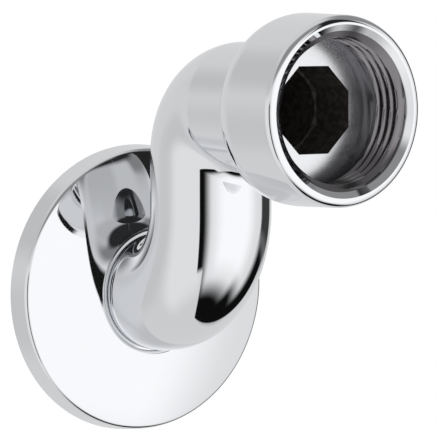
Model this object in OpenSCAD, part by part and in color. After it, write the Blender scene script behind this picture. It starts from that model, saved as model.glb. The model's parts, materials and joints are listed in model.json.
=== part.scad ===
// Offset wall union for a shower or bath valve, with its wall escutcheon.
// The wall is the plane y = 0 and the room is towards -Y. The origin is on the axis of
// the wall connection, and the outlet lies above it.

/* [Route of the tube] */
// Height of the outlet's axis above the wall connection's axis
offset_h = 34.5; // [32:0.5:45]
// Distance from the wall to the outlet's rim
reach = 64; // [62:0.5:80]
// Straight length from the wall to the first bend
wall_run = 9; // [8:0.5:12]
// Centre line radius of the bend nearest the wall
lower_bend_r = 16; // [12:0.5:16]
// Centre line radius of the bend behind the outlet
upper_bend_r = 9; // [8:0.5:11]

/* [Tube] */
// Outside diameter of the tube
tube_d = 21.6; // [21.4:0.2:23]
// Diameter of the waterway
waterway_d = 14; // [11:0.5:14.5]

/* [Wall thread] */
// Outside diameter of the thread that screws into the wall
wall_thread_d = 20.955; // [20:0.005:21.3]
// Length of the wall thread, behind the wall plane
wall_thread_l = 15; // [10:0.5:25]
// Bevel on the end of the wall thread
thread_bevel = 1.2; // [0.5:0.1:1.5]

/* [Outlet cup] */
// Outside diameter of the cup at its rim
rim_d = 32; // [31:0.5:36]
// Outside diameter of the cup at its shoulder
shoulder_d = 33; // [32:0.5:37]
// Length of the cup, from the neck's crease to the rim
cup_l = 26.3; // [24:0.1:26.5]
// Angle between the flared shoulder and the outlet's axis
flare = 26; // [22:1:32]
// Radius that rounds the shoulder into the cup's wall
shoulder_round = 20; // [8:1:22]
// Radius on the outer edge of the rim
rim_round = 0.8; // [0.4:0.1:1]

/* [Inside of the cup] */
// Diameter of the plain bore at the crests of the outlet thread
outlet_bore_d = 24.12; // [23.5:0.02:25]
// Depth from the rim to the seat that the washer seals on
seat_depth = 9.7; // [9:0.1:11]
// Bevel at the mouth of the outlet thread, measured across the rim
mouth_bevel = 1.2; // [0.5:0.1:1.4]
// Length of the clear groove between the last thread and the seat
relief_l = 2.4; // [1.6:0.1:3]
// Diameter of the clear groove
relief_d = 27; // [26.6:0.1:27.6]
// Width across the flats of the eight-sided key hole
key_flats = 15.1; // [13:0.1:16]
// Depth of the key hole behind the seat
key_depth = 9; // [6:0.5:10]

/* [Escutcheon] */
// Outside diameter of the escutcheon where it meets the wall
plate_d = 54.4; // [50:0.2:70]
// Height of the escutcheon's rim band
band_h = 4; // [3:0.1:6]
// Lean of the rim band, from straight out of the wall
band_lean = 8; // [3:1:12]
// Slope of the face from the rim up to the tube
face_slope = 16; // [12:1:18]
// Radius between the rim band and the face
band_round = 0.8; // [0.4:0.1:1.2]
// Thickness of the sheet
sheet_t = 1; // [0.9:0.1:1.2]
// Gap between the escutcheon's hole and the tube
plate_gap = 0.25; // [0.1:0.05:0.5]
// Radius of the rounded edge round the hole
lip_r = 0.7; // [0.3:0.1:0.8]

/* [Hidden] */
$fn = 96;
chrome = [0.80, 0.81, 0.83];
tube_r = tube_d / 2;
waterway_r = waterway_d / 2;
wall_thread_r = wall_thread_d / 2;
rim_r = rim_d / 2;
shoulder_r = shoulder_d / 2;
outlet_bore_r = outlet_bore_d / 2;
relief_r = relief_d / 2;
// A little extra that a cut runs past the face it opens
past = 1;
// Both bends are square, so the run between them makes up the height that they leave
middle_run = offset_h - lower_bend_r - upper_bend_r;
cup_base = reach - cup_l;
// The neck makes up the reach that the wall run and the bends leave
neck_run = cup_base - wall_run - lower_bend_r - upper_bend_r;
seat_z = reach - seat_depth;
// The waterway opens into the bottom of the key hole
key_end_z = seat_z - key_depth;
// Corner where the shoulder's flare would meet the cup's wall
wall_taper = atan((shoulder_r - rim_r) / (cup_l - flare_l(shoulder_r)));
corner_z = flare_l(shoulder_r);
plate_r = plate_d / 2;
hole_r = tube_r + plate_gap;
arc_step = 6;

// Length that the flare takes to reach a radius
function flare_l(r) = (r - tube_r) / tan(flare);

// Points on an arc, in steps of about arc_step degrees
function arc(centre, r, from, to) =
    let (n = max(2, ceil(abs(to - from) / arc_step)))
    [for (i = [0:n]) let (a = from + (to - from) * i / n) centre + r * [cos(a), sin(a)]];

// Height of the escutcheon's face at a radius, at a depth below its surface
function face_z(r, depth) =
    band_h - depth / cos(face_slope) + (plate_r - band_h * tan(band_lean) - r) * tan(face_slope);

// Where the rim band and the face meet, at a depth below both surfaces
function band_corner(depth) =
    let (
        lean = tan(band_lean),
        r = (plate_r - depth / cos(band_lean) - lean * face_z(0, depth)) / (1 - lean * tan(face_slope))
    )
    [r, face_z(r, depth)];

// A straight length of round bar that ends where its children start
module straight(l, r) {
    cylinder(h = l, r = r);
    translate([0, 0, l])
        children();
}

// A square bend from +Z towards +Y, with its children at its end. Where the bend is
// tighter than the bar, the inside of the corner is left to the straight runs
module bend(bend_r, r) {
    translate([0, bend_r, 0]) {
        rotate([90, 0, 0])
            rotate([0, -90, 0])
                rotate_extrude(angle = 90)
                    intersection() {
                        translate([bend_r, 0])
                            circle(r);
                        translate([0, -r])
                            square([bend_r + r, 2 * r]);
                    }
        rotate([-90, 0, 0])
            translate([0, -bend_r, 0])
                children();
    }
}

// The tube's whole route at one radius, up from the wall and out again to end_l past the bends
module route(r, end_l) {
    straight(wall_run, r)
        bend(lower_bend_r, r)
            straight(middle_run, r)
                mirror([0, 1, 0])
                    bend(upper_bend_r, r)
                        straight(end_l, r);
}

module wall_stub() {
    end_r = wall_thread_r - thread_bevel;
    rotate_extrude()
        polygon([
            [0, past],
            [wall_thread_r, past],
            [wall_thread_r, thread_bevel - wall_thread_l],
            [end_r, -wall_thread_l],
            [0, -wall_thread_l]
        ]);
}

module cup_outside() {
    bend_half = (flare + wall_taper) / 2;
    tangent_l = shoulder_round * tan(bend_half);
    round_start = [shoulder_r - tangent_l * sin(flare), corner_z - tangent_l * cos(flare)];
    round_centre = round_start + shoulder_round * [-cos(flare), sin(flare)];
    rim_centre = [rim_r - rim_round, cup_l - rim_round];
    rotate_extrude()
        polygon(concat(
            [[0, 0], [tube_r, 0]],
            arc(round_centre, shoulder_round, -flare, wall_taper),
            arc(rim_centre, rim_round, wall_taper, 90),
            [[0, cup_l]]
        ));
}

module cup_inside() {
    mouth_r = outlet_bore_r + mouth_bevel;
    // The groove ends in a slope of 45 degrees, up to the thread's crests
    slope = relief_r - outlet_bore_r;
    rotate_extrude()
        polygon([
            [0, 0],
            [relief_r, 0],
            [relief_r, relief_l - slope],
            [outlet_bore_r, relief_l],
            [outlet_bore_r, seat_depth - mouth_bevel],
            [mouth_r, seat_depth],
            [mouth_r, seat_depth + past],
            [0, seat_depth + past]
        ]);
}

module key_hole() {
    corner_r = key_flats / 2 / cos(22.5);
    rotate([0, 0, 22.5])
        cylinder(h = key_depth + past, r = corner_r, $fn = 8);
}

module s_body() {
    color(chrome)
        rotate([90, 0, 0])
            difference() {
                union() {
                    wall_stub();
                    route(tube_r, neck_run);
                    translate([0, offset_h, cup_base])
                        cup_outside();
                }
                translate([0, 0, -wall_thread_l - past])
                    cylinder(h = wall_thread_l + past, r = waterway_r);
                route(waterway_r, neck_run + key_end_z - cup_base);
                translate([0, offset_h, seat_z - key_depth])
                    key_hole();
                translate([0, offset_h, seat_z])
                    cup_inside();
            }
}

module escutcheon() {
    edge_centre = band_corner(band_round);
    lip_centre = [hole_r + lip_r, face_z(hole_r + lip_r, lip_r)];
    color(chrome)
        rotate([90, 0, 0])
            rotate_extrude()
                polygon(concat(
                    [[plate_r - sheet_t / cos(band_lean), 0], [plate_r, 0]],
                    arc(edge_centre, band_round, band_lean, 90 - face_slope),
                    arc(lip_centre, lip_r, 90 - face_slope, 180),
                    [[hole_r, face_z(hole_r, sheet_t)], band_corner(sheet_t)]
                ));
}

s_body();
escutcheon();
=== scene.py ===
"""A chromed offset wall union with its escutcheon, shown in a white photographic tent."""
import json
import math
from collections import namedtuple

import bmesh
import bpy
import numpy as np
from mathutils import Matrix, Vector


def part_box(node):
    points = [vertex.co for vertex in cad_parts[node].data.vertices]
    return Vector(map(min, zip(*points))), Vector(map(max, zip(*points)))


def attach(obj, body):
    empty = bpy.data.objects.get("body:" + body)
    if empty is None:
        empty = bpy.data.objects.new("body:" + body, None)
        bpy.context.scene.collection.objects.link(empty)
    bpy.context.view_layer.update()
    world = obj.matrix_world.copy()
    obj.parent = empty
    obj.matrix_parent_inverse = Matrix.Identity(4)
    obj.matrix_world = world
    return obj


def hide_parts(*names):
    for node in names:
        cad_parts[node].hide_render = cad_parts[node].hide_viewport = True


bl_info = {
    "name": "Offset Wall Union",
    "version": (1, 0, 0),
    "blender": (4, 5, 0),
    "location": "3D Viewport > Sidebar > Union",
    "description": "Builds a chromed offset wall union and its escutcheon over the packed solids",
    "category": "Object",
}

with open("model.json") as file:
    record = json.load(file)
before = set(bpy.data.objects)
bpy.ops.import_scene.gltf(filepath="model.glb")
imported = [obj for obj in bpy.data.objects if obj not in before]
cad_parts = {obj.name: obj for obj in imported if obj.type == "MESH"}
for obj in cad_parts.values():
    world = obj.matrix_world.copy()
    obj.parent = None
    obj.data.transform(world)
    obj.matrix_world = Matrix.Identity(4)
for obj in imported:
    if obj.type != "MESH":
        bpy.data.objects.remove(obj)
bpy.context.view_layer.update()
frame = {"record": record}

MM = 0.001
MOUNTS = {mount["name"]: mount for mount in frame["record"]["mounts"]}
BODY_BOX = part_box("s_body")
PLATE_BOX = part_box("escutcheon")
# Points round every ring of the body, a multiple of eight so that the key hole keeps its corners
BODY_SIDES = 160
PLATE_SIDES = 256
# Distance of the rings that hold a straight length flat right up to a bend
HOLD = 0.06 * MM
# The photograph's escutcheon has a slightly smaller radius than the solid
PLATE_TRIM = 0.6 * MM
# Distance between the rings that carry a thread
THREAD_STEP = 0.15 * MM
# Steps of the shoulder's round, and the place of its end in the cup's outline
SHOULDER_STEPS = 20
SHOULDER_END = 4 + SHOULDER_STEPS
# The body's finishes, in the order of its material slots
POLISHED, CUT_SHADED, FACED, BARE_SHADED = range(4)
# Range of the fine grain over which a stain's edge blends
STAIN_EDGE = (0.42, 0.58)
# The escutcheon's second material slot, for its dull inner side, which is coloured dark as painted shade
DULL_SHADED = 1

# Height of the floor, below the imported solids
FLOOR_Z = -50.0 * MM
FLOOR_HALF = 3.0
FLOOR_GLOW = 0.5
FLOOR_PAPER = (0.9, 0.9, 0.9, 1.0)
WHITE = (1.0, 1.0, 1.0, 1.0)

# The photograph's frame, and the lens length in its pixels
PHOTO_WIDTH = 436.0
LENS_PIXELS = 2600.0
SENSOR = 36.0
CAMERA_AZIMUTH = math.radians(-35.18)
CAMERA_ELEVATION = math.radians(4.44)
CAMERA_DISTANCE = 484.2 * MM
# The point the camera looks at, to the right of the origin and above it as the camera sees them
AIM_RIGHT = 15.67 * MM
AIM_UP = 12.47 * MM

# The tent reads a ray depth of 2 in a first mirror image and 3 in an image of that image
SECOND_IMAGE_DEPTH = 2.5
# Light levels of black cloth and of the bare tent
BLACK = 0.005
TENT_LEVEL = 0.74
# A card in the tent: its sides and ends in degrees of azimuth and elevation, the softness of its
# edges and its light level. Azimuth 0 faces the wall squarely, and a later card covers an earlier
# one. Some cards show only where the piece mirrors them first, others only in later mirror images
Card = namedtuple("Card", "left right bottom top side_soft end_soft level images", defaults=("all",))
CARDS = (
    # The tent's lit cloth at the left, and its dimmer parts behind that and above
    Card(-112, -46, -60, 14, 10, 14, 0.89),
    Card(-150, -122, -34, 0, 8, 12, 0.66),
    Card(-165, -70, 16, 48, 12, 8, 0.62),
    # Black cloth at the left of the softbox and under the piece
    Card(-56, -30, -43, 6, 0.8, 3, BLACK, images="first"),
    Card(-44, 106, -95, -40, 1.5, 3, BLACK, images="first"),
    # Black column at the right of the softbox
    Card(72, 107, -80, -14, 1.5, 6, BLACK, images="first"),
    # The softbox and its bright middle
    Card(-40, 80, -60, 34, 9, 11, 0.88),
    Card(-22, 52, -46, 30, 16, 14, 1.17),
    # The cloth's higher right side, and the column's dark upper part
    Card(46, 106, -95, -49, 12, 9, BLACK, images="first"),
    Card(78, 114, -16, 40, 3, 6, 0.05, images="first"),
    # The dim ceiling, and the gap above the softbox
    Card(-60, 130, 24, 64, 14, 8, 0.3),
    Card(28, 46, 8, 55, 3, 3, 0.02),
    # The dark camera side and the high ceiling, as the escutcheon mirrors them off the tube
    Card(-34, -4, -16, 14, 3, 4, 0.01, images="later"),
    Card(-180, 180, 46, 100, 1, 6, 0.03, images="later"),
)


def length(name, description, default):
    return bpy.props.FloatProperty(
        name=name, description=description, default=default, min=0.0, unit="LENGTH", precision=5
    )


def angle(name, description, degrees):
    return bpy.props.FloatProperty(
        name=name, description=description, default=math.radians(degrees), unit="ROTATION"
    )


def fraction(name, description, default):
    return bpy.props.FloatProperty(
        name=name, description=description, default=default, min=0.0, max=1.0, subtype="FACTOR"
    )


def tint(name, description, colour):
    return bpy.props.FloatVectorProperty(
        name=name, description=description, default=colour, size=3, min=0.0, max=1.0, subtype="COLOR"
    )


class UnionBodySizes(bpy.types.PropertyGroup):
    """Sizes of the cast body, in metres."""

    tube_radius: length("Tube radius", "Outside radius of the bent tube", 10.8 * MM)
    waterway_radius: length("Waterway radius", "Radius of the hole through the tube", 7.0 * MM)
    wall_run: length("Wall run", "Straight length between the wall and the lower bend", 9.0 * MM)
    lower_bend_radius: length("Lower bend", "Centre line radius of the bend at the wall", 16.0 * MM)
    upper_bend_radius: length("Upper bend", "Centre line radius of the bend at the cup", 9.0 * MM)
    corner_fillet: length("Corner fillet", "Smallest radius inside the upper bend", 3.0 * MM)
    offset: length("Offset", "Height of the outlet above the wall thread", MOUNTS["key_hole"]["pos_m"][2])
    reach: length("Reach", "Distance of the rim from the wall", -BODY_BOX[0].y)
    stub_length: length("Stub length", "Length of the threaded stub behind the wall", BODY_BOX[1].y)
    wall_thread_radius: length(
        "Wall thread radius", "Crest radius of the wall thread",
        MOUNTS["wall_thread"]["dims"]["r_mm"] * MM,
    )
    neck_radius: length("Neck radius", "Outside radius at the neck's crease", 11.3 * MM)
    cup_length: length("Cup length", "Length of the cup from the neck's crease to its rim", 20.6 * MM)
    crease_lean: length("Crease lean", "How much nearer the wall the crease's foot lies", 4.5 * MM)
    flare: angle("Flare", "Angle between the shoulder and the outlet's axis", 33.0)
    shoulder_radius: length("Shoulder radius", "Radius where the flare would meet the wall", 16.38 * MM)
    shoulder_round: length("Shoulder round", "Radius that rounds the shoulder", 6.0 * MM)
    rim_radius: length("Rim radius", "Outside radius of the cup at its rim", 16.0 * MM)
    rim_round: length("Rim round", "Radius on the rim's outer edge", 1.3 * MM)
    bore_radius: length(
        "Outlet bore radius", "Crest radius of the outlet thread",
        MOUNTS["outlet_thread"]["dims"]["r_mm"] * MM,
    )
    mouth_radius: length("Mouth radius", "Radius where the mouth's bevel meets the rim", 14.4 * MM)
    mouth_bevel: length("Mouth bevel", "Depth of the bevel that leads into the outlet thread", 1.7 * MM)
    seat_depth: length("Seat depth", "Depth from the rim to the washer seat", 8.9 * MM)
    relief_length: length("Relief length", "Clear groove between the thread and the seat", 1.7 * MM)
    relief_radius: length("Relief radius", "Radius of the clear groove", 13.5 * MM)
    groove_corner: length("Groove corner", "Clear length between the thread's end and the seat", 0.6 * MM)
    key_flats: length("Key hole", "Width across the flats of the key hole", 14.8 * MM)
    key_depth: length("Key depth", "Depth of the key hole behind the seat", 9.0 * MM)
    thread_pitch: length("Thread pitch", "Pitch of both pipe threads", 1.814 * MM)
    stub_bevel: length("Stub bevel", "Bevel on the end of the stub", 1.2 * MM)
    run_out_start: length("Run-out start", "Plain length behind the wall plane", 1.0 * MM)
    run_out_length: length("Run-out length", "Length in which the wall thread fades out", 2.0 * MM)


class EscutcheonSizes(bpy.types.PropertyGroup):
    """Sizes of the pressed escutcheon, in metres."""

    radius: length("Radius", "Outside radius at the wall", PLATE_BOX[1].x - PLATE_TRIM)
    band_height: length("Band height", "Height of the rim band", 4.6 * MM)
    band_lean: angle("Band lean", "Lean of the rim band towards the tube", 6.5)
    face_slope: angle("Face slope", "Slope of the domed face at its rim", 18.2)
    hub_slope: angle("Hub slope", "Slope of the domed face at the hole", 8.2)
    edge_round: length("Edge round", "Radius between the band and the face", 1.0 * MM)
    sheet: length("Sheet", "Thickness of the sheet", 1.0 * MM)
    hole_gap: length("Hole gap", "Gap between the hole and the tube", 0.25 * MM)
    lip_round: length("Lip round", "Radius of the rounded edge round the hole", 0.8 * MM)


class UnionFinish(bpy.types.PropertyGroup):
    """Colours and polish of the plating, the cut threads and the bare casting inside. The threads, the
    casting and the escutcheon's back are darkened as painted shade.
    """

    chrome: tint("Chrome", "Colour of the plating", (0.80, 0.81, 0.83))
    # Painted shade: the cut threads are coloured far darker than the plating, partly for their duller
    # plating and partly to stand in for the shade of the cup's unlit inside that they mirror
    cut_metal_and_shade: tint("Cut metal", "Colour of the thinly plated threads", (0.24, 0.23, 0.24))
    # Painted shade: the escutcheon's inner side is coloured dark to stand in for the shade inside the cap
    # against the wall
    back: tint("Back", "Colour of the escutcheon's dull inner side", (0.11, 0.10, 0.09))
    # Painted shade: the waterway's bare casting is coloured nearly black to stand in for the unlit inside
    # of the tube; the stain colour gives random stained patches within it
    casting: tint("Casting", "Colour of the bare casting in the waterway", (0.045, 0.038, 0.036))
    shaded_casting_stain: tint("Casting stain", "Colour of its stained patches", (0.09, 0.08, 0.075))
    polish: fraction("Polish", "Roughness of the polished plating", 0.03)
    cut_roughness: fraction("Cut roughness", "Roughness of the cut threads", 0.2)
    seat_roughness: fraction("Seat roughness", "Roughness of the faced washer seat", 0.24)
    cast_roughness: fraction("Cast roughness", "Roughness of the bare casting", 0.6)
    ripple: length("Ripple", "Height of the faint ripple that hand polishing leaves", 0.002 * MM)


def arc(centre, radius, start, end, steps):
    """Points (along, out) on an arc from start to end, in radians, in equal steps."""
    turn = np.linspace(start, end, steps + 1)
    return [(centre[0] + radius * math.cos(a), centre[1] + radius * math.sin(a)) for a in turn]


def held_line(start, end):
    """A straight stretch of an outline, with a ring close to each end."""
    start, end = np.array(start), np.array(end)
    run = end - start
    share = min(HOLD / np.linalg.norm(run), 0.3)
    return [tuple(start + run * t) for t in (0.0, share, 1.0 - share, 1.0)]


def turns(sides):
    return np.arange(sides) * (2 * math.pi / sides)


def ring(height, y, radii, sides=BODY_SIDES):
    """A ring round an axis along Y. The radii are one number, or one for each point."""
    t = turns(sides)
    return np.column_stack((radii * np.cos(t), np.full(sides, 0.0) + y, height + radii * np.sin(t)))


class Skin:
    """A closed skin made of rings, each joined to the next and the last to the first."""

    def __init__(self, sides):
        self.sides = sides
        self.rings = []
        self.creases = set()
        # Finish of the band that leads to each ring
        self.finish = POLISHED
        self.finishes = []

    def add(self, points):
        """Adds a ring, unless it lies on the one before."""
        if self.rings and np.abs(self.rings[-1] - points).max() < 1e-7:
            return
        self.rings.append(points)
        self.finishes.append(self.finish)

    def crease(self):
        """Makes the last ring a sharp edge."""
        self.creases.add(len(self.rings) - 1)

    def outline(self, points, height=0.0):
        """Adds rings round an axis along Y from an outline of (y, radius) points."""
        for y, radius in points:
            self.add(ring(height, y, radius, self.sides))

    def build(self, name):
        mesh = bmesh.new()
        loops = [[mesh.verts.new(p) for p in points] for points in self.rings]
        count, sides = len(loops), self.sides
        for i in range(count):
            after_i = (i + 1) % count
            here, after = loops[i], loops[after_i]
            for j in range(sides):
                k = (j + 1) % sides
                face = mesh.faces.new((here[j], here[k], after[k], after[j]))
                face.smooth = True
                face.material_index = self.finishes[after_i]
        for i in self.creases:
            for j in range(sides):
                mesh.edges.get((loops[i][j], loops[i][(j + 1) % sides])).smooth = False
        bmesh.ops.recalc_face_normals(mesh, faces=mesh.faces)
        data = bpy.data.meshes.new(name)
        mesh.to_mesh(data)
        mesh.free()
        piece = bpy.data.objects.new(name, data)
        bpy.context.scene.collection.objects.link(piece)
        return piece


def soft_max(a, b, width):
    """The larger of two values, blended over a width."""
    share = np.clip(0.5 + 0.5 * (a - b) / width, 0.0, 1.0)
    return b + (a - b) * share + width * share * (1.0 - share)


def lower_bend_ring(body, radius, turn):
    """A ring of the bend at the wall. The turn is 0 at the wall run and a quarter at the riser."""
    t = turns(BODY_SIDES)
    side = radius * np.sin(t)
    reach = body.lower_bend_radius - side
    y = -body.wall_run - reach * math.sin(turn)
    z = body.lower_bend_radius - reach * math.cos(turn)
    return np.column_stack((radius * np.cos(t), y, z))


def upper_bend_ring(body, radius, turn):
    """A ring of the bend behind the cup. Inside the corner its radius stays above the fillet."""
    t = turns(BODY_SIDES)
    side = radius * np.sin(t)
    reach = soft_max(body.upper_bend_radius + side, body.corner_fillet, body.corner_fillet)
    riser_y = -body.wall_run - body.lower_bend_radius
    y = riser_y + side - reach * (1.0 - math.cos(turn))
    z = body.offset + side - reach * (1.0 - math.sin(turn))
    return np.column_stack((radius * np.cos(t), y, z))


def lean_back(points, lean):
    """Moves the foot of a ring towards the wall. The power keeps the move close to the foot."""
    foot = np.clip(-np.sin(turns(len(points))), 0.0, 1.0)
    leant = points.copy()
    leant[:, 1] += lean * foot**4
    return leant


def route_rings(body, radius, neck_radius, steps):
    """Rings along the whole tube, from the wall plane to the neck's crease."""
    quarter = np.linspace(0.0, math.pi / 2, steps + 1)
    lower = [lower_bend_ring(body, radius, a) for a in quarter]
    # The neck widens late in the upper bend
    growth = [(neck_radius - radius) * (1.0 - math.cos(a)) ** 3 for a in quarter]
    upper = [upper_bend_ring(body, radius + more, a) for more, a in zip(growth, quarter)]
    toward_wall = np.array((0.0, HOLD, 0.0))
    up = np.array((0.0, 0.0, HOLD))
    neck = upper[-1].copy()
    neck[:, 1] = -(body.reach - body.cup_length)
    neck = lean_back(neck, body.crease_lean)
    return [
        ring(0.0, 0.0, radius),
        lower[0] + toward_wall,
        *lower,
        lower[-1] + up,
        upper[0] - up,
        *upper,
        upper[-1] - toward_wall,
        neck + toward_wall,
        neck,
    ]


def thread_form(phase):
    """Depth of a rounded pipe thread as a share of its pitch, 0 at the crest. Flanks meet at 55 degrees."""
    flank = math.radians(27.5)
    rounding, depth = 0.1373, 0.6403
    arc_end = rounding * math.cos(flank)
    arc_rise = rounding * (1.0 - math.sin(flank))
    x = 0.5 - np.abs((phase % 1.0) - 0.5)
    crest = rounding - np.sqrt(np.maximum(rounding**2 - x**2, 0.0))
    root = depth - rounding + np.sqrt(np.maximum(rounding**2 - (0.5 - x) ** 2, 0.0))
    straight = arc_rise + (x - arc_end) / math.tan(flank)
    return np.where(x < arc_end, crest, np.where(x > 0.5 - arc_end, root, straight))


def cup_outline(body):
    """The cup's outside from the neck's crease to the flat of its rim, as (y, radius) points."""
    flare = body.flare
    base = body.reach - body.cup_length
    corner_l = (body.shoulder_radius - body.neck_radius) / math.tan(flare)
    taper = math.atan((body.shoulder_radius - body.rim_radius) / (body.cup_length - corner_l))
    tangent = body.shoulder_round * math.tan((flare + taper) / 2)
    # In these outlines the first number is the distance from the wall
    start_r = body.shoulder_radius - tangent * math.sin(flare)
    centre = (
        base + corner_l - tangent * math.cos(flare) + body.shoulder_round * math.sin(flare),
        start_r - body.shoulder_round * math.cos(flare),
    )
    rim_centre = (body.reach - body.rim_round, body.rim_radius - body.rim_round)
    shoulder = arc(centre, body.shoulder_round, math.pi / 2 + flare, math.pi / 2 - taper, SHOULDER_STEPS)
    rim = arc(rim_centre, body.rim_round, math.pi / 2 - taper, 0.0, 10)
    return [
        *held_line((base, body.neck_radius), shoulder[0]),
        *shoulder,
        *held_line(shoulder[-1], rim[0]),
        *rim,
    ]


def mouth_bevel_radius(body, depth):
    """Radius of the mouth's bevel at a depth from the rim."""
    return body.mouth_radius - (body.mouth_radius - body.bore_radius) * depth / body.mouth_bevel


def outlet_thread_radii(body, depth):
    """Radii round the outlet's inside at a depth from the rim: bevel, thread and clear groove."""
    t = turns(BODY_SIDES)
    groove_end = body.seat_depth - body.groove_corner
    run_out = depth - (body.seat_depth - body.relief_length) + body.bore_radius
    phase = depth / body.thread_pitch + t / (2 * math.pi)
    cut = body.bore_radius + body.thread_pitch * thread_form(phase)
    open_side = max(mouth_bevel_radius(body, depth), min(run_out, body.relief_radius), body.bore_radius)
    return np.maximum(cut if depth < groove_end else 0.0, open_side)


def wall_thread_radii(body, y):
    """Radii round the stub at a distance behind the wall: thread, run-out and end bevel."""
    t = turns(BODY_SIDES)
    phase = y / body.thread_pitch + t / (2 * math.pi)
    crest = body.wall_thread_radius
    depth = body.thread_pitch * thread_form(phase)
    fade = np.clip((y - body.run_out_start) / body.run_out_length, 0.0, 1.0)
    end = body.wall_thread_radius - body.stub_bevel + (body.stub_length - y)
    return np.minimum(crest - depth * fade, end)


def eight_sided(flats):
    """Radii of an eight-sided hole with a flat at the top, one for each point of a ring."""
    eighth = math.pi / 4
    t = turns(BODY_SIDES)
    return flats / 2 / np.cos((t + eighth / 2) % eighth - eighth / 2)


def add_stub(skin, body):
    """The threaded stub's outside, from its end to the wall plane."""
    skin.finish = CUT_SHADED
    for y in np.arange(body.stub_length, 0.0, -THREAD_STEP):
        skin.add(ring(0.0, y, wall_thread_radii(body, y)))
        if y == body.stub_length:
            skin.crease()
    skin.add(ring(0.0, HOLD, body.wall_thread_radius))
    skin.add(ring(0.0, 0.0, body.wall_thread_radius))
    skin.crease()


def add_outside(skin, body):
    """The polished tube and cup, out to the flat of the rim."""
    skin.finish = POLISHED
    wall_end, *rest = route_rings(body, body.tube_radius, body.neck_radius, 36)
    skin.add(wall_end)
    skin.crease()
    for points in rest:
        skin.add(points)
    skin.crease()
    cup = cup_outline(body)
    crease_y, shoulder_y = cup[0][0], cup[SHOULDER_END][0]
    for y, radius in cup:
        share = np.clip((shoulder_y - y) / (shoulder_y - crease_y), 0.0, 1.0)
        skin.add(lean_back(ring(body.offset, -y, radius), body.crease_lean * share))
    flat_start = (-body.reach, body.rim_radius - body.rim_round)
    skin.outline(held_line(flat_start, (-body.reach, body.mouth_radius)), body.offset)
    skin.crease()


def add_outlet(skin, body):
    """The cup's inside: bevel, thread, clear groove and seat."""
    bevel_end = body.mouth_bevel / 2
    for depth in np.arange(THREAD_STEP, body.seat_depth, THREAD_STEP):
        # The thread's roots cut into the lower half of the bevel
        skin.finish = POLISHED if depth < bevel_end else CUT_SHADED
        skin.add(ring(body.offset, depth - body.reach, outlet_thread_radii(body, depth)))
    seat_y = body.seat_depth - body.reach
    skin.add(ring(body.offset, seat_y, body.relief_radius))
    skin.crease()
    skin.finish = FACED
    skin.add(ring(body.offset, seat_y, body.relief_radius - HOLD))
    skin.add(ring(body.offset, seat_y, eight_sided(body.key_flats) + HOLD))
    skin.add(ring(body.offset, seat_y, eight_sided(body.key_flats)))
    skin.crease()


def add_waterway(skin, body):
    """The key hole, and the waterway from its end back to the end of the stub."""
    skin.finish = BARE_SHADED
    key = eight_sided(body.key_flats)
    start = body.seat_depth - body.reach
    end = start + body.key_depth
    for y in (start + HOLD, end - HOLD, end):
        skin.add(ring(body.offset, y, key))
    skin.crease()
    skin.add(ring(body.offset, end, body.waterway_radius))
    skin.crease()
    # The neck's own end lies inside the key hole
    for points in route_rings(body, body.waterway_radius, body.waterway_radius, 24)[-3::-1]:
        skin.add(points)
    skin.add(ring(0.0, body.stub_length, body.waterway_radius))
    skin.crease()


def body_skin(body):
    """The whole casting as one closed skin, from the end of the stub out and back inside."""
    skin = Skin(BODY_SIDES)
    for add in (add_stub, add_outside, add_outlet, add_waterway):
        add(skin, body)
    return skin


def mark_corners(piece, threshold=math.radians(32)):
    """Makes the long corners of the key hole sharp."""
    piece.data.set_sharp_from_angle(angle=threshold)


def plate_face(plate, hole_radius, depth):
    """One side of the sheet, at a depth below its outside: its foot, edge round, domed face and lip."""
    lean, slope, hub = plate.band_lean, plate.face_slope, plate.hub_slope
    foot = (0.0, plate.radius - depth / math.cos(lean))
    edge_centre = (
        plate.band_height - plate.edge_round,
        plate.radius - plate.band_height * math.tan(lean) - plate.edge_round,
    )
    lip_centre_r = hole_radius + plate.lip_round
    # The dome's arc takes the face from the edge's round to the lip's
    face_start = edge_centre[1] + plate.edge_round * math.sin(slope)
    face_end = lip_centre_r + plate.lip_round * math.sin(hub)
    dome_r = (face_start - face_end) / (math.sin(slope) - math.sin(hub))
    dome = (
        edge_centre[0] + (plate.edge_round - dome_r) * math.cos(slope),
        face_start - dome_r * math.sin(slope),
    )
    lip_centre = (dome[0] + (dome_r - plate.lip_round) * math.cos(hub), lip_centre_r)
    edge = arc(edge_centre, max(plate.edge_round - depth, 0.0), math.pi / 2 - lean, slope, 14)
    face = arc(dome, dome_r - depth, slope, hub, 24)
    lip = arc(lip_centre, max(plate.lip_round - depth, 0.0), hub, -math.pi / 2, 16)
    return foot, edge, face, lip


def plate_skin(plate, hole_radius):
    """The escutcheon as one closed skin, from the wall round the outside and back inside."""
    foot, edge, face, lip = plate_face(plate, hole_radius, 0.0)
    inner_foot, _, inner_face, _ = plate_face(plate, hole_radius, plate.sheet)
    inner_end = (inner_face[-1][0], hole_radius)
    outside = [
        *held_line(foot, edge[0]),
        *edge,
        *face[1:-1],
        *lip,
        *held_line(lip[-1], inner_end)[1:],
    ]
    inside = [
        *inner_face[::-1],
        *held_line(inner_face[0], inner_foot)[1:],
        *held_line(inner_foot, foot)[1:-1],
    ]
    skin = Skin(PLATE_SIDES)
    for skin.finish, points in ((POLISHED, outside), (DULL_SHADED, inside)):
        skin.outline([(-y, r) for y, r in points])
    return skin


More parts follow.
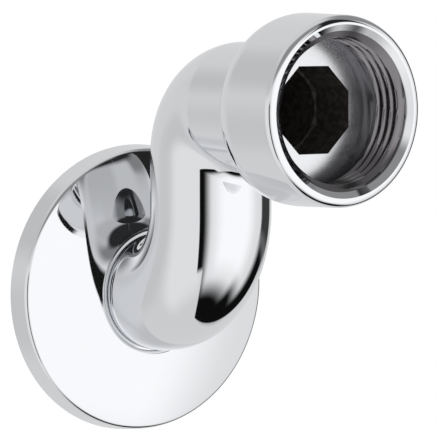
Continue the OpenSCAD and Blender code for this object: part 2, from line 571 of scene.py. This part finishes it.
class Graph:
    """Adds and links the nodes of one node tree."""

    def __init__(self, tree):
        self.tree = tree

    def node(self, kind, **settings):
        node = self.tree.nodes.new(kind)
        for key, value in settings.items():
            setattr(node, key, value)
        return node

    def feed(self, socket, value):
        """Links a socket into another, or sets a plain value."""
        if isinstance(value, bpy.types.NodeSocket):
            self.tree.links.new(value, socket)
        else:
            socket.default_value = value

    def math(self, operation, *values):
        node = self.node("ShaderNodeMath", operation=operation)
        for socket, value in zip(node.inputs, values):
            self.feed(socket, value)
        return node.outputs[0]

    def smooth_step(self, value, low, high, start=0.0, end=1.0):
        node = self.node("ShaderNodeMapRange", interpolation_type="SMOOTHSTEP")
        for name, given in (
            ("Value", value), ("From Min", low), ("From Max", high), ("To Min", start), ("To Max", end),
        ):
            self.feed(node.inputs[name], given)
        return node.outputs["Result"]


def uneven_surface():
    """A node group with the slow ripple and the fine grain of a metal surface, fixed to the piece."""
    name = "uneven_surface"
    if name in bpy.data.node_groups:
        return bpy.data.node_groups[name]
    tree = bpy.data.node_groups.new(name, "ShaderNodeTree")
    for socket in ("Ripples Per Metre", "Grains Per Metre", "Roughness", "Roughness Spread"):
        tree.interface.new_socket(socket, in_out="INPUT", socket_type="NodeSocketFloat")
    for socket in ("Height", "Roughness", "Grain"):
        tree.interface.new_socket(socket, in_out="OUTPUT", socket_type="NodeSocketFloat")
    graph = Graph(tree)
    inputs = graph.node("NodeGroupInput").outputs
    place = graph.node("ShaderNodeTexCoord").outputs["Object"]
    fields = []
    for scale, detail in (("Ripples Per Metre", 1.0), ("Grains Per Metre", 3.0)):
        noise = graph.node("ShaderNodeTexNoise")
        graph.feed(noise.inputs["Vector"], place)
        graph.feed(noise.inputs["Scale"], inputs[scale])
        graph.feed(noise.inputs["Detail"], detail)
        fields.append(noise.outputs["Fac"])
    ripple, grain = fields
    swing = graph.math("MULTIPLY", graph.math("SUBTRACT", grain, 0.5), inputs["Roughness Spread"])
    output = graph.node("NodeGroupOutput")
    graph.feed(output.inputs["Height"], ripple)
    graph.feed(output.inputs["Roughness"], graph.math("ADD", inputs["Roughness"], swing))
    graph.feed(output.inputs["Grain"], graph.smooth_step(grain, *STAIN_EDGE))
    return tree


def metal(name, colour, roughness, ripple, spread, ripples, grains, metallic=1.0, stain=None):
    """A metal finish: the ripple's height, the spread of its roughness, and the ripples and grains
    in a metre. A stain colours patches of the grain."""
    material = bpy.data.materials.new(name)
    material.use_nodes = True
    graph = Graph(material.node_tree)
    shader = material.node_tree.nodes["Principled BSDF"]
    surface = graph.node("ShaderNodeGroup", node_tree=uneven_surface())
    for socket, value in (
        ("Ripples Per Metre", ripples), ("Grains Per Metre", grains),
        ("Roughness", roughness), ("Roughness Spread", spread),
    ):
        graph.feed(surface.inputs[socket], value)
    bump = graph.node("ShaderNodeBump")
    graph.feed(bump.inputs["Strength"], 1.0)
    graph.feed(bump.inputs["Distance"], ripple)
    graph.feed(bump.inputs["Height"], surface.outputs["Height"])
    graph.feed(shader.inputs["Normal"], bump.outputs["Normal"])
    graph.feed(shader.inputs["Roughness"], surface.outputs["Roughness"])
    graph.feed(shader.inputs["Metallic"], metallic)
    if stain is None:
        graph.feed(shader.inputs["Base Color"], (*colour, 1.0))
    else:
        mix = graph.node("ShaderNodeMix", data_type="RGBA")
        graph.feed(mix.inputs["Factor"], surface.outputs["Grain"])
        graph.feed(mix.inputs[6], (*colour, 1.0))
        graph.feed(mix.inputs[7], (*stain, 1.0))
        graph.feed(shader.inputs["Base Color"], mix.outputs[2])
    return material


def polished_chrome(name, finish):
    return metal(
        name, finish.chrome, finish.polish, finish.ripple, spread=0.02, ripples=90.0, grains=3000.0
    )


# The threads' dark colour is partly their duller plating and partly painted shade from the cup's unlit
# inside
def cut_thread(name, finish):
    return metal(
        name, finish.cut_metal_and_shade, finish.cut_roughness, finish.ripple * 2,
        spread=0.12, ripples=1500.0, grains=5000.0,
    )


def faced_seat(name, finish):
    return metal(
        name, finish.chrome, finish.seat_roughness, finish.ripple, spread=0.1, ripples=300.0, grains=4000.0
    )


# The dark back colour is painted shade for the inside of the cap against the wall
def dull_back(name, finish):
    return metal(
        name, finish.back, finish.cast_roughness, finish.ripple, spread=0.2, ripples=200.0, grains=2500.0
    )


# The near-black colours are painted shade for the tube's unlit inside; the grain mixes in stained patches
def bare_casting(name, finish):
    return metal(
        name, finish.casting, finish.cast_roughness, finish.ripple * 10,
        spread=0.2, ripples=1200.0, grains=900.0, metallic=0.0, stain=finish.shaded_casting_stain,
    )


def card_group():
    """A node group that masks a soft-edged card by its azimuth and elevation, in degrees."""
    tree = bpy.data.node_groups.new("tent_card", "ShaderNodeTree")
    tree.interface.new_socket("Direction", in_out="INPUT", socket_type="NodeSocketVector")
    for name in ("Azimuth", "Half Width", "Elevation", "Half Height", "Side Softness", "End Softness"):
        tree.interface.new_socket(name, in_out="INPUT", socket_type="NodeSocketFloat")
    tree.interface.new_socket("Mask", in_out="OUTPUT", socket_type="NodeSocketFloat")
    graph = Graph(tree)
    inputs = graph.node("NodeGroupInput").outputs
    split = graph.node("ShaderNodeSeparateXYZ")
    graph.feed(split.inputs[0], inputs["Direction"])
    x, y, z = split.outputs
    azimuth = graph.math("DEGREES", graph.math("ARCTAN2", x, graph.math("MULTIPLY", y, -1.0)))
    elevation = graph.math("DEGREES", graph.math("ARCSINE", z))
    turn = graph.math("WRAP", graph.math("SUBTRACT", azimuth, inputs["Azimuth"]), 180.0, -180.0)
    beside = graph.math("SUBTRACT", graph.math("ABSOLUTE", turn), inputs["Half Width"])
    above = graph.math("ABSOLUTE", graph.math("SUBTRACT", elevation, inputs["Elevation"]))
    beyond = graph.math("SUBTRACT", above, inputs["Half Height"])
    fades = []
    for outside, softness in ((beside, inputs["Side Softness"]), (beyond, inputs["End Softness"])):
        start = graph.math("MULTIPLY", softness, -1.0)
        fades.append(graph.smooth_step(outside, start, softness, 1.0, 0.0))
    output = graph.node("NodeGroupOutput")
    graph.feed(output.inputs["Mask"], graph.math("MULTIPLY", *fades))
    return tree


def white_tent():
    """A pale tent with a softbox and black cards, which the chrome mirrors and the camera sees as white."""
    world = bpy.data.worlds.new("white_tent")
    world.use_nodes = True
    graph = Graph(world.node_tree)
    direction = graph.node("ShaderNodeTexCoord").outputs["Generated"]
    cards = card_group()
    path = graph.node("ShaderNodeLightPath").outputs
    shares = {
        "first": graph.math("LESS_THAN", path["Ray Depth"], SECOND_IMAGE_DEPTH),
        "later": graph.math("GREATER_THAN", path["Ray Depth"], SECOND_IMAGE_DEPTH),
    }
    level = TENT_LEVEL
    for card in CARDS:
        mask = graph.node("ShaderNodeGroup", node_tree=cards)
        graph.feed(mask.inputs["Direction"], direction)
        centre, half = (card.left + card.right) / 2, (card.right - card.left) / 2
        middle, tall = (card.bottom + card.top) / 2, (card.top - card.bottom) / 2
        for name, value in (
            ("Azimuth", centre), ("Half Width", half), ("Elevation", middle), ("Half Height", tall),
            ("Side Softness", card.side_soft), ("End Softness", card.end_soft),
        ):
            graph.feed(mask.inputs[name], value)
        cover = mask.outputs["Mask"]
        if card.images in shares:
            cover = graph.math("MULTIPLY", cover, shares[card.images])
        mix = graph.node("ShaderNodeMix", data_type="FLOAT")
        graph.feed(mix.inputs["Factor"], cover)
        graph.feed(mix.inputs["A"], level)
        graph.feed(mix.inputs["B"], card.level)
        level = mix.outputs["Result"]
    shown = graph.node("ShaderNodeMix", data_type="FLOAT")
    graph.feed(shown.inputs["Factor"], path["Is Camera Ray"])
    graph.feed(shown.inputs["A"], level)
    graph.feed(shown.inputs["B"], 1.0)
    background = world.node_tree.nodes["Background"]
    graph.feed(background.inputs["Color"], WHITE)
    graph.feed(background.inputs["Strength"], shown.outputs["Result"])
    return world


def pale_floor(height):
    """A wide floor below the piece, which the polished pieces don't mirror."""
    mesh = bpy.data.meshes.new("floor")
    half = FLOOR_HALF
    corners = [(-half, -half, height), (half, -half, height), (half, half, height), (-half, half, height)]
    mesh.from_pydata(corners, [], [(0, 1, 2, 3)])
    floor = bpy.data.objects.new("floor", mesh)
    floor.visible_glossy = False
    bpy.context.scene.collection.objects.link(floor)
    material = bpy.data.materials.new("pale_paper")
    material.use_nodes = True
    shader = material.node_tree.nodes["Principled BSDF"]
    shader.inputs["Base Color"].default_value = FLOOR_PAPER
    shader.inputs["Roughness"].default_value = 1.0
    shader.inputs["Emission Color"].default_value = WHITE
    shader.inputs["Emission Strength"].default_value = FLOOR_GLOW
    mesh.materials.append(material)
    return floor


def photo_camera():
    """A camera at the photograph's viewing angle, with its longer lens."""
    back = Vector((
        math.sin(CAMERA_AZIMUTH) * math.cos(CAMERA_ELEVATION),
        -math.cos(CAMERA_AZIMUTH) * math.cos(CAMERA_ELEVATION),
        math.sin(CAMERA_ELEVATION),
    ))
    right = Vector((math.cos(CAMERA_AZIMUTH), math.sin(CAMERA_AZIMUTH), 0.0))
    up = back.cross(right)
    place = right * AIM_RIGHT + up * AIM_UP + back * CAMERA_DISTANCE
    camera = bpy.data.objects.new("camera", bpy.data.cameras.new("camera"))
    camera.data.sensor_fit = "HORIZONTAL"
    camera.data.sensor_width = SENSOR
    camera.data.lens = SENSOR * LENS_PIXELS / PHOTO_WIDTH
    camera.data.clip_start = 10 * MM
    turn = Matrix((right, up, back)).transposed()
    camera.matrix_world = Matrix.Translation(place) @ turn.to_4x4()
    bpy.context.scene.collection.objects.link(camera)
    return camera


class UNION_OT_body(bpy.types.Operator):
    """Build the cast body with both threads, the seat and the waterway"""

    bl_idname = "union.body"
    bl_label = "Cast Body"

    def execute(self, context):
        scene = context.scene
        piece = body_skin(scene.union_body).build("cast_body")
        mark_corners(piece)
        finish = scene.union_finish
        # In the order of the finishes polished, cut, faced and bare; the cut and bare ones are darkened as
        # painted shade
        piece.data.materials.append(polished_chrome("body_chrome", finish))
        piece.data.materials.append(cut_thread("cut_thread", finish))
        piece.data.materials.append(faced_seat("faced_seat", finish))
        piece.data.materials.append(bare_casting("bare_casting", finish))
        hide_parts("s_body")
        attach(piece, "root")
        return {"FINISHED"}


class UNION_OT_escutcheon(bpy.types.Operator):
    """Build the pressed escutcheon that covers the hole in the wall"""

    bl_idname = "union.escutcheon"
    bl_label = "Wall Escutcheon"

    def execute(self, context):
        scene = context.scene
        plate = scene.union_escutcheon
        hole = scene.union_body.tube_radius + plate.hole_gap
        piece = plate_skin(plate, hole).build("wall_escutcheon")
        mark_corners(piece)
        # The plating, then the dull inner side, darkened as painted shade
        piece.data.materials.append(polished_chrome("plate_chrome", scene.union_finish))
        piece.data.materials.append(dull_back("dull_back", scene.union_finish))
        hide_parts("escutcheon")
        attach(piece, "root")
        return {"FINISHED"}


class UNION_OT_studio(bpy.types.Operator):
    """Set up the pale floor, the white tent and the camera"""

    bl_idname = "union.studio"
    bl_label = "Studio"

    def execute(self, context):
        scene = context.scene
        scene.camera = photo_camera()
        scene.world = white_tent()
        pale_floor(FLOOR_Z)
        scene.view_settings.view_transform = "Standard"
        return {"FINISHED"}


class UNION_PT_panel(bpy.types.Panel):
    """Lists the sizes, the finish and the steps"""

    bl_label = "Offset Wall Union"
    bl_idname = "UNION_PT_panel"
    bl_space_type = "VIEW_3D"
    bl_region_type = "UI"
    bl_category = "Union"

    def draw(self, context):
        layout = self.layout
        for name in GROUPS:
            group = getattr(context.scene, name)
            box = layout.box()
            for key in type(group).__annotations__:
                box.prop(group, key)
        for step in STEPS:
            layout.operator(step.bl_idname)


GROUPS = {
    "union_body": UnionBodySizes,
    "union_escutcheon": EscutcheonSizes,
    "union_finish": UnionFinish,
}
STEPS = (UNION_OT_body, UNION_OT_escutcheon, UNION_OT_studio)
CLASSES = (*GROUPS.values(), *STEPS, UNION_PT_panel)


def register():
    for cls in CLASSES:
        bpy.utils.register_class(cls)
    for name, group in GROUPS.items():
        setattr(bpy.types.Scene, name, bpy.props.PointerProperty(type=group))


def unregister():
    for name in GROUPS:
        delattr(bpy.types.Scene, name)
    for cls in reversed(CLASSES):
        bpy.utils.unregister_class(cls)


def main():
    register()
    bpy.ops.union.body()
    bpy.ops.union.escutcheon()
    bpy.ops.union.studio()


if __name__ == "__main__":
    main()
